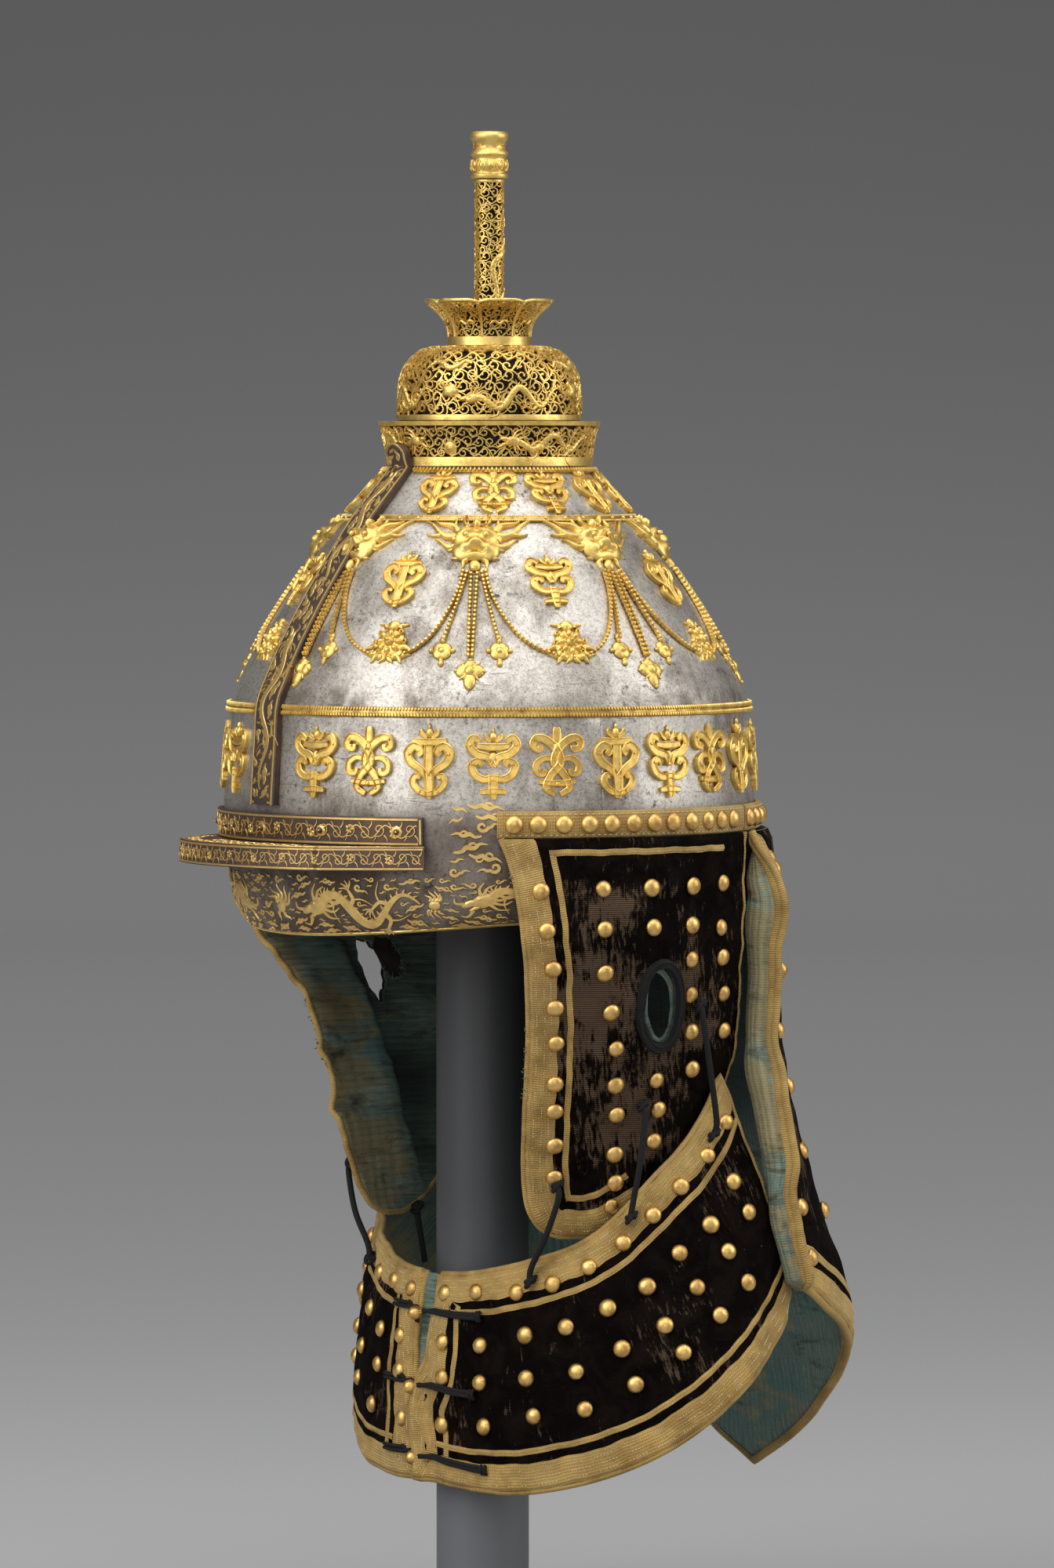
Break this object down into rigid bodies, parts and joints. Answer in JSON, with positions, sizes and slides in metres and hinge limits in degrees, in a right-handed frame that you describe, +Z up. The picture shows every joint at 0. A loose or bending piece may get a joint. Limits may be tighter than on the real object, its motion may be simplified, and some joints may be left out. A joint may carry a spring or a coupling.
{
  "type": "ceremonial helmet on a post stand",
  "caption": "Tall steel ceremonial helmet with gilt mounts, openwork finial and plume tube, studded velvet ear flaps, nape guard and collar, standing on a plain post and round base.",
  "frame": {"origin": "centre of the stand base's underside, on the axis that the helmet and the post share", "axes": "+Z up along the post to the plume tube, -Y towards the brow and peak, +X towards the wearer's left ear"},
  "size_m": [0.2339, 0.2703, 0.6295],
  "materials": {
    "steel": "bright steel with old patina and fine scratches",
    "dark_iron": "brown-black iron damascened in gold",
    "gilt": "fire-gilt copper alloy, worn on the high spots",
    "velvet": "black-brown velvet, worn to its weave",
    "silk_lining": "faded blue-green silk",
    "ribbon": "tan woven silk ribbon with pale stitching",
    "cord": "black braided cord",
    "stand_paint": "matt grey paint"
  },
  "bodies": {
    "root": {"bowl_left": "steel", "bowl_right": "steel", "front_comb": "dark_iron", "rear_comb": "dark_iron", "brow_plate": "dark_iron", "peak_shelf": "dark_iron", "top_moulding_left": "gilt", "top_moulding_right": "gilt", "upper_moulding_left": "gilt", "upper_moulding_right": "gilt", "lower_moulding_left": "gilt", "lower_moulding_right": "gilt", "mask_1": "gilt", "mask_2": "gilt", "mask_3": "gilt", "mask_4": "gilt", "mask_5": "gilt", "mask_6": "gilt", "mask_7": "gilt", "mask_8": "gilt", "medallion_1": "gilt", "medallion_2": "gilt", "medallion_3": "gilt", "medallion_4": "gilt", "medallion_5": "gilt", "medallion_6": "gilt", "medallion_7": "gilt", "medallion_8": "gilt", "finial_collar": "gilt", "finial_dome": "gilt", "finial_cup": "gilt", "plume_tube": "gilt", "tube_cap": "gilt", "collar_button_top": "gilt", "collar_button_middle": "gilt", "collar_button_bottom": "gilt", "ear_flap_left": "velvet", "ear_flap_right": "velvet", "nape_guard": "velvet", "collar_left": "velvet", "collar_right": "velvet", "ear_band_left": "ribbon", "ear_band_right": "ribbon", "nape_band": "ribbon", "ear_hole_cord_left": "cord", "ear_hole_cord_right": "cord", "button_loop_top": "cord", "button_loop_middle": "cord", "button_loop_bottom": "cord", "tie_left_front": "cord", "tie_left_middle": "cord", "tie_left_rear": "cord", "tie_right_front": "cord", "tie_right_middle": "cord", "tie_right_rear": "cord", "stand_post": "stand_paint", "stand_base": "stand_paint"}
  },
  "joints": []
}
